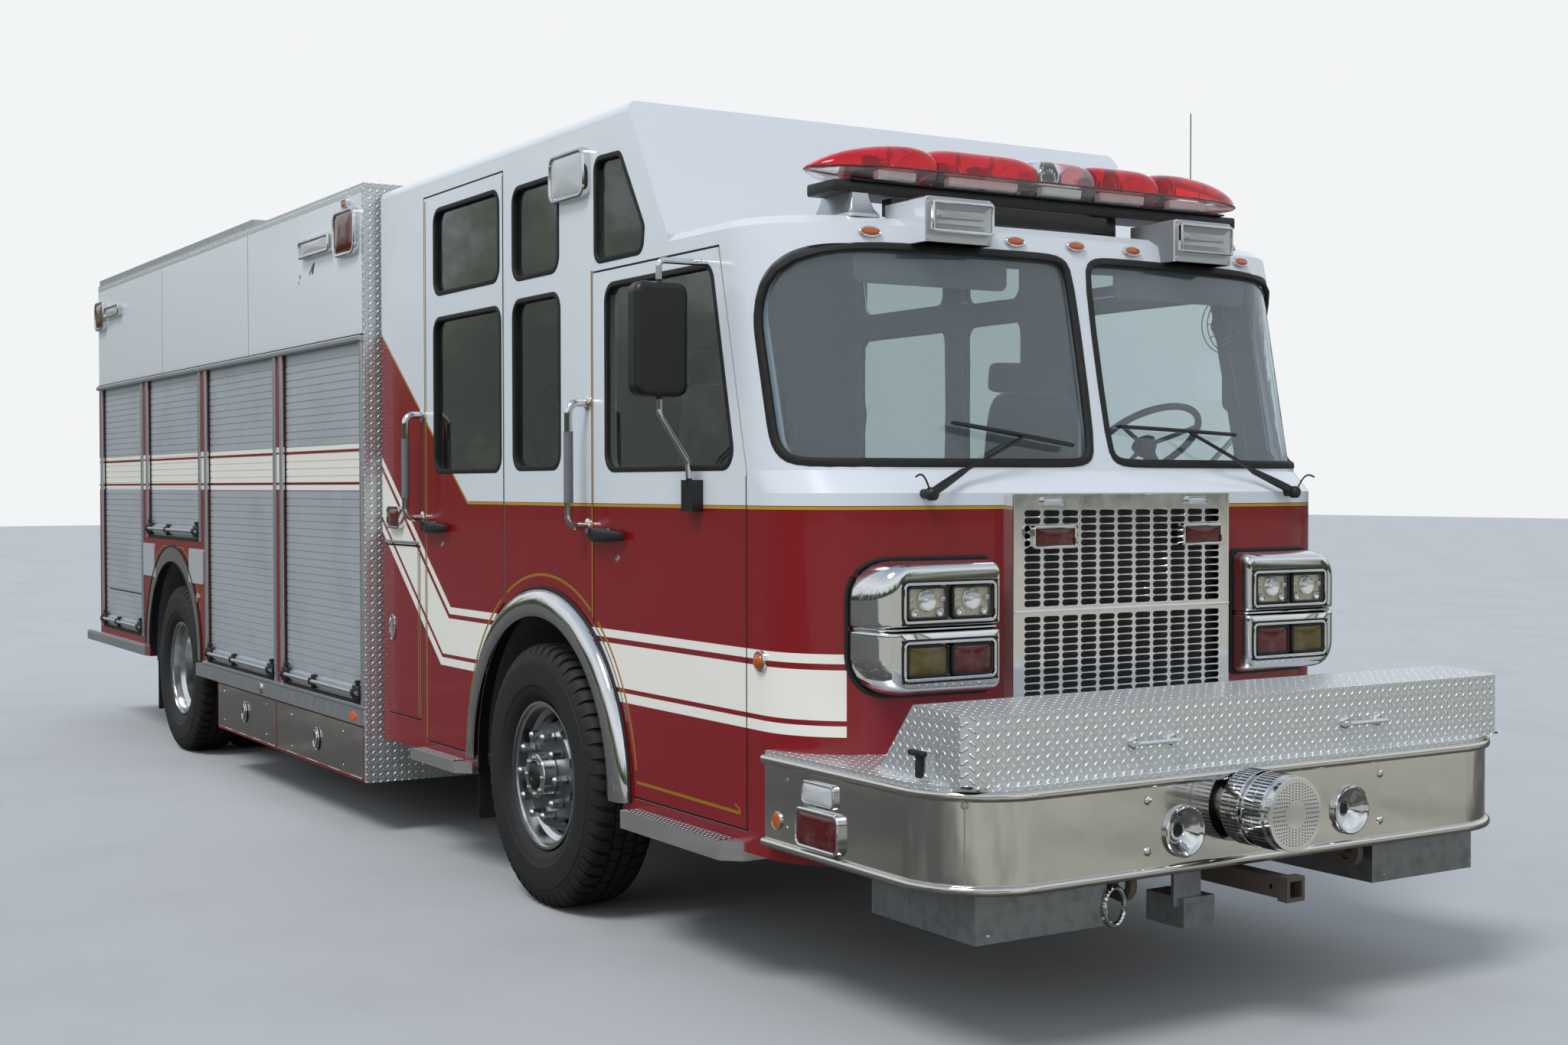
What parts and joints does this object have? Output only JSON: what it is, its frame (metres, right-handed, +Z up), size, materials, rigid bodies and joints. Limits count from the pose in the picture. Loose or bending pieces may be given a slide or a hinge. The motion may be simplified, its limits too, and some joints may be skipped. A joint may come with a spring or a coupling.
{
  "type": "heavy rescue truck",
  "caption": "Cab-over heavy rescue truck with raised-roof crew cab, shuttered walk-around body, twin rear wheels, opening doors and steered front wheels.",
  "frame": {"origin": "on the ground, under the middle of the vehicle's length and width", "axes": "+X forwards, +Y to the driver's left, +Z up"},
  "size_m": [11.1053, 2.974, 3.2398],
  "materials": {
    "black_plastic": "moulded plastic",
    "chrome": "chrome plate",
    "floor": "painted sheet",
    "frame_black": "semi-gloss black chassis enamel",
    "glass": "tempered glass",
    "lens": "moulded polycarbonate",
    "polished_aluminium": "polished forged aluminium",
    "red_paint": "gloss coach enamel",
    "rubber": "sheet rubber",
    "seat_fabric": "woven seat cover",
    "shutter_aluminium": "satin anodised extrusion",
    "stainless": "polished stainless steel sheet",
    "treadplate": "bright diamond treadplate",
    "tyre": "moulded rubber",
    "white_paint": "gloss coach enamel"
  },
  "bodies": {
    "truck": {"arch_trims": "stainless", "body_ends": "treadplate", "body_floor": "floor", "body_rails": "shutter_aluminium", "body_roof": "treadplate", "body_sides": "white_paint", "bumper": "stainless", "bumper_boxes": "treadplate", "bumper_deck": "treadplate", "cab_floor": "floor", "cab_glass": "glass", "cab_nose": "red_paint", "cab_roof": "white_paint", "cab_steps": "treadplate", "cab_walls": "red_paint", "chassis_frame": "frame_black", "dashboard": "black_plastic", "engine": "frame_black", "front_axle": "frame_black", "grab_handles": "stainless", "grille": "stainless", "headlamps": "stainless", "lamps": "lens", "light_bar": "black_plastic", "light_bar_lenses": "lens", "mud_flaps": "rubber", "rear_axle": "frame_black", "seats": "seat_fabric", "shutters": "shutter_aluminium", "siren": "stainless", "underbody_tanks": "frame_black", "wipers": "black_plastic"},
    "knuckle_r": {"knuckle_r": "frame_black"},
    "wheel_front_r": {"tyre_front_r": "tyre", "rim_front_r": "polished_aluminium"},
    "wheels_rear_r": {"tyres_rear_r": "tyre", "rims_rear_r": "polished_aluminium"},
    "door_front_r": {"door_front_r": "red_paint", "pane_front_r": "glass", "mirror_r": "chrome"},
    "door_crew_r": {"door_crew_r": "red_paint", "panes_crew_r": "glass"},
    "hatch_r": {"hatch_r": "red_paint"},
    "lower_door_front_r": {"lower_door_front_r": "stainless"},
    "lower_door_back_r": {"lower_door_back_r": "stainless"},
    "knuckle_l": {"knuckle_l": "frame_black"},
    "wheel_front_l": {"tyre_front_l": "tyre", "rim_front_l": "polished_aluminium"},
    "wheels_rear_l": {"tyres_rear_l": "tyre", "rims_rear_l": "polished_aluminium"},
    "door_front_l": {"door_front_l": "red_paint", "pane_front_l": "glass", "mirror_l": "chrome"},
    "door_crew_l": {"door_crew_l": "red_paint", "panes_crew_l": "glass"},
    "hatch_l": {"hatch_l": "red_paint"},
    "lower_door_front_l": {"lower_door_front_l": "stainless"},
    "lower_door_back_l": {"lower_door_back_l": "stainless"},
    "bumper_lid": {"bumper_lid": "treadplate"}
  },
  "joints": [
    {"name": "steer_r", "type": "hinge", "parent": "truck", "child": "knuckle_r", "pos_m": [2.5005, -0.925, 0.536], "axis": [0, 0, 1], "range_deg": [-35, 35]},
    {"name": "roll_front_r", "type": "hinge", "parent": "knuckle_r", "child": "wheel_front_r", "pos_m": [2.5005, -1.087, 0.536], "axis": [0, 1, 0], "continuous": true},
    {"name": "roll_rear_r", "type": "hinge", "parent": "truck", "child": "wheels_rear_r", "pos_m": [-3.0255, -0.9425, 0.536], "axis": [0, 1, 0], "continuous": true},
    {"name": "open_front_r", "type": "hinge", "parent": "truck", "child": "door_front_r", "pos_m": [4.1175, -1.196, 1.15], "axis": [0, 0, 1], "range_deg": [0, 80]},
    {"name": "open_crew_r", "type": "hinge", "parent": "truck", "child": "door_crew_r", "pos_m": [2.1015, -1.196, 2.1], "axis": [0, 0, 1], "range_deg": [0, 80]},
    {"name": "open_hatch_r", "type": "hinge", "parent": "truck", "child": "hatch_r", "pos_m": [1.1225, -1.196, 1], "axis": [0, 0, 1], "range_deg": [0, 90]},
    {"name": "drop_front_r", "type": "hinge", "parent": "truck", "child": "lower_door_front_r", "pos_m": [-0.1495, -1.27, 0.27], "axis": [1, 0, 0], "range_deg": [0, 90]},
    {"name": "drop_back_r", "type": "hinge", "parent": "truck", "child": "lower_door_back_r", "pos_m": [-1.4495, -1.27, 0.27], "axis": [1, 0, 0], "range_deg": [0, 90]},
    {"name": "steer_l", "type": "hinge", "parent": "truck", "child": "knuckle_l", "pos_m": [2.5005, 0.925, 0.536], "axis": [0, 0, 1], "range_deg": [-35, 35]},
    {"name": "roll_front_l", "type": "hinge", "parent": "knuckle_l", "child": "wheel_front_l", "pos_m": [2.5005, 1.087, 0.536], "axis": [0, 1, 0], "continuous": true},
    {"name": "roll_rear_l", "type": "hinge", "parent": "truck", "child": "wheels_rear_l", "pos_m": [-3.0255, 0.9425, 0.536], "axis": [0, 1, 0], "continuous": true},
    {"name": "open_front_l", "type": "hinge", "parent": "truck", "child": "door_front_l", "pos_m": [4.1175, 1.196, 1.15], "axis": [0, 0, -1], "range_deg": [0, 80]},
    {"name": "open_crew_l", "type": "hinge", "parent": "truck", "child": "door_crew_l", "pos_m": [2.1015, 1.196, 2.1], "axis": [0, 0, -1], "range_deg": [0, 80]},
    {"name": "open_hatch_l", "type": "hinge", "parent": "truck", "child": "hatch_l", "pos_m": [1.1225, 1.196, 1], "axis": [0, 0, -1], "range_deg": [0, 90]},
    {"name": "drop_front_l", "type": "hinge", "parent": "truck", "child": "lower_door_front_l", "pos_m": [-0.1495, 1.27, 0.27], "axis": [-1, 0, 0], "range_deg": [0, 90]},
    {"name": "drop_back_l", "type": "hinge", "parent": "truck", "child": "lower_door_back_l", "pos_m": [-1.4495, 1.27, 0.27], "axis": [-1, 0, 0], "range_deg": [0, 90]},
    {"name": "lift_lid", "type": "hinge", "parent": "truck", "child": "bumper_lid", "pos_m": [4.8365, 0, 0.85], "axis": [0, -1, 0], "range_deg": [0, 65]}
  ],
  "couplings": [
    {"joint": "steer_r", "follows": "steer_l", "ratio": 1}
  ]
}
